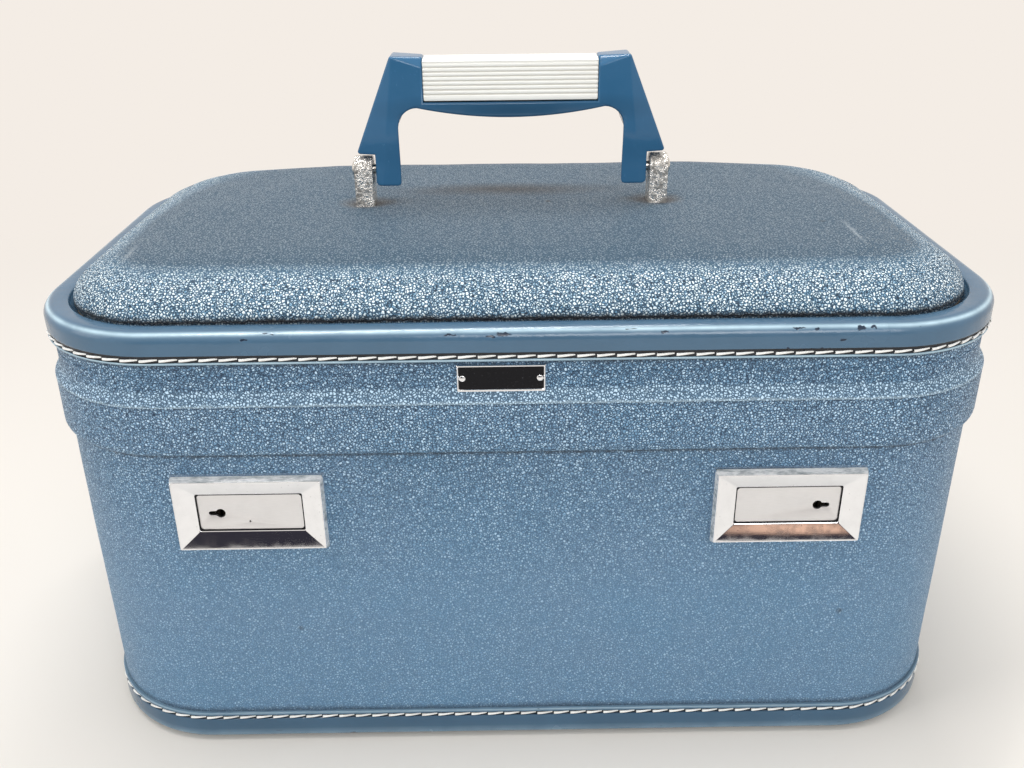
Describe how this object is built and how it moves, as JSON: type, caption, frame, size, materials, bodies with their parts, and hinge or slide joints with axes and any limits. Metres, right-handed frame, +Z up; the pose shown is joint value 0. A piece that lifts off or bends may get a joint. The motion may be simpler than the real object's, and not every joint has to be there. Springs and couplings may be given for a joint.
{
  "type": "makeup train case",
  "caption": "Round-cornered vanity case with a padded hinged lid, folding top handle, sliding latches, lid stays, mirror and lift-out tray.",
  "frame": {"origin": "centre of the bounding box's footprint, on the table under the case", "axes": "+X to the right along the case, +Y to the back (the hinges), +Z up; the latches face -Y"},
  "size_m": [0.3532, 0.2137, 0.2552],
  "materials": {
    "fibreboard": "pressed fibreboard, unpainted",
    "grained_vinyl": "grained vinyl leathercloth, satin",
    "smooth_binding": "smooth vinyl binding, semi-gloss with worn edges",
    "thread": "waxed thread, off-white",
    "glide_nickel": "nickel plated, dull",
    "frame_aluminium": "extruded aluminium, satin",
    "lining_fabric": "pale blue woven lining with a slight sheen",
    "elastic": "covered elastic",
    "rail_plastic": "moulded plastic, matte",
    "latch_chrome": "polished chrome plating, lightly worn",
    "latch_satin": "satin nickel, finely brushed",
    "galvanised_steel": "zinc plated pressed steel",
    "lock_brass": "turned brass",
    "hinge_nickel": "nickel plated steel",
    "post_nickel": "pitted nickel plating",
    "tray_plastic": "moulded plastic, pale grey, matte",
    "foam_padding": "foam padding under the lid cover",
    "badge_black": "gloss black enamel, blank",
    "mirror_silver": "silvered glass",
    "mirror_rim": "rolled aluminium rim, satin",
    "handle_plastic": "moulded blue plastic, glossy",
    "grip_plastic": "moulded ivory plastic, ribbed"
  },
  "bodies": {
    "case": {"base_board": "fibreboard", "body_shell": "fibreboard", "body_cover": "grained_vinyl", "base_binding": "smooth_binding", "base_stitching": "thread", "base_glides": "glide_nickel", "body_rim_band": "grained_vinyl", "body_frame": "frame_aluminium", "body_lining": "lining_fabric", "rear_pocket": "lining_fabric", "pocket_elastic": "elastic", "tray_rail_front": "rail_plastic", "tray_rail_rear": "rail_plastic", "latch_bezel_left": "latch_chrome", "latch_bezel_right": "latch_chrome", "latch_case_left": "galvanised_steel", "latch_case_right": "galvanised_steel", "latch_spring_left": "galvanised_steel", "latch_spring_right": "galvanised_steel", "body_hinge_left": "hinge_nickel", "body_hinge_right": "hinge_nickel", "hinge_pin_left": "hinge_nickel", "hinge_pin_right": "hinge_nickel", "body_hinge_rivets": "hinge_nickel", "stay_studs": "hinge_nickel"},
    "slide_left": {"latch_slide_left": "latch_satin"},
    "slide_right": {"latch_slide_right": "latch_satin"},
    "lock_left": {"lock_barrel_left": "lock_brass"},
    "lock_right": {"lock_barrel_right": "lock_brass"},
    "tray": {"tray": "tray_plastic"},
    "lid": {"lid_shell": "fibreboard", "lid_padding": "foam_padding", "lid_top_cover": "grained_vinyl", "lid_wall_cover": "grained_vinyl", "lid_rim_band": "grained_vinyl", "lid_frame": "frame_aluminium", "lid_binding": "smooth_binding", "lid_stitching": "thread", "badge_plate": "badge_black", "badge_border": "latch_chrome", "badge_pins": "latch_chrome", "hasp_left": "galvanised_steel", "hasp_right": "galvanised_steel", "lid_lining": "lining_fabric", "mirror_glass": "mirror_silver", "mirror_frame": "mirror_rim", "lid_hinge_left": "hinge_nickel", "lid_hinge_right": "hinge_nickel", "lid_hinge_rivets": "hinge_nickel", "stay_pivots": "hinge_nickel", "handle_post_left": "post_nickel", "handle_post_right": "post_nickel", "post_washers": "galvanised_steel", "handle_pin_left": "post_nickel", "handle_pin_right": "post_nickel"},
    "stay_left": {"stay_arm_left": "hinge_nickel"},
    "stay_right": {"stay_arm_right": "hinge_nickel"},
    "handle": {"handle_frame": "handle_plastic", "handle_grip": "grip_plastic"}
  },
  "joints": [
    {"name": "lid_hinge", "type": "hinge", "parent": "case", "child": "lid", "pos_m": [0, 0.1057, 0.1525], "axis": [-1, 0, 0], "range_deg": [0, 95]},
    {"name": "stay_left_turn", "type": "hinge", "parent": "lid", "child": "stay_left", "pos_m": [-0.166, 0.02621, 0.1615], "axis": [-1, 0, 0], "range_deg": [-47.5, 0]},
    {"name": "stay_right_turn", "type": "hinge", "parent": "lid", "child": "stay_right", "pos_m": [0.166, 0.02621, 0.1615], "axis": [-1, 0, 0], "range_deg": [-47.5, 0]},
    {"name": "handle_swing", "type": "hinge", "parent": "lid", "child": "handle", "pos_m": [-0.0022, 0, 0.21], "axis": [1, 0, 0], "range_deg": [-95, 95]},
    {"name": "latch_left_slide", "type": "slide", "parent": "case", "child": "slide_left", "axis": [-1, 0, 0], "range_m": [0, 0.006], "stiffness_N_per_m": 150, "springref_m": -0.004, "deforming": ["latch_spring_left"]},
    {"name": "latch_right_slide", "type": "slide", "parent": "case", "child": "slide_right", "axis": [1, 0, 0], "range_m": [0, 0.006], "stiffness_N_per_m": 150, "springref_m": -0.004, "deforming": ["latch_spring_right"]},
    {"name": "lock_left_turn", "type": "hinge", "parent": "slide_left", "child": "lock_left", "pos_m": [-0.1096, -0.102, 0.1096], "axis": [0, 1, 0], "range_deg": [0, 90]},
    {"name": "lock_right_turn", "type": "hinge", "parent": "slide_right", "child": "lock_right", "pos_m": [0.1072, -0.102, 0.1096], "axis": [0, -1, 0], "range_deg": [0, 90]},
    {"name": "tray_lift", "type": "slide", "parent": "case", "child": "tray", "axis": [0, 0, 1], "range_m": [0, 0.018]}
  ],
  "couplings": [
    {"joint": "stay_left_turn", "follows": "lid_hinge", "ratio": -0.5},
    {"joint": "stay_right_turn", "follows": "lid_hinge", "ratio": -0.5}
  ]
}
